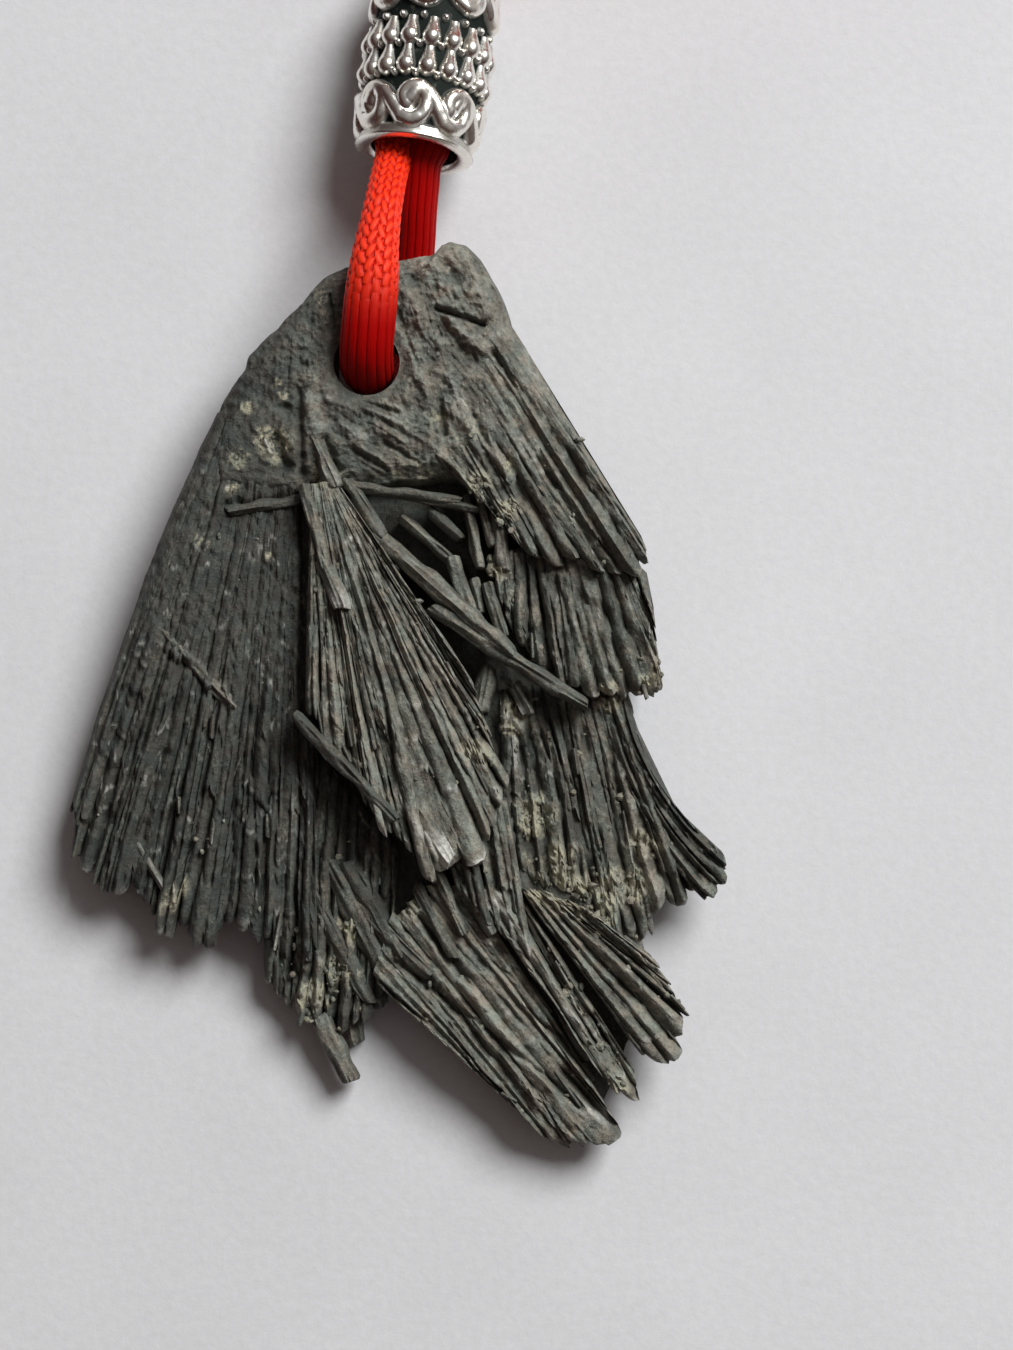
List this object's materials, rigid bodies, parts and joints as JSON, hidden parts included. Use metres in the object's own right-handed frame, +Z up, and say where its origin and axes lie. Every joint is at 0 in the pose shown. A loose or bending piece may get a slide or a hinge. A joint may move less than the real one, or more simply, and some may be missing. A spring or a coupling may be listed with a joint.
{
  "type": "black kyanite fan",
  "caption": "Fan of dark kyanite blades spreading from a drilled stem, hung on a doubled red cord that passes through a silver barrel bead.",
  "frame": {"origin": "on the surface it lies on, below the middle of the box round the fan, the bead and the looped cord", "axes": "+Y runs from the blade tips to the bead, +X to the right as the fan is seen from above, +Z up through the fan's thickness"},
  "size_m": [0.0521, 0.1174, 0.0145],
  "materials": {
    "kyanite": "matte",
    "silver": "satin",
    "red_cord": "satin",
    "tie": "matte"
  },
  "bodies": {
    "root": {"fan": "kyanite", "bead": "silver", "cord_loop": "red_cord", "cord_left": "red_cord", "cord_right": "red_cord", "cord_coil": "red_cord", "cord_knot": "red_cord", "coil_tie": "tie"}
  },
  "joints": []
}
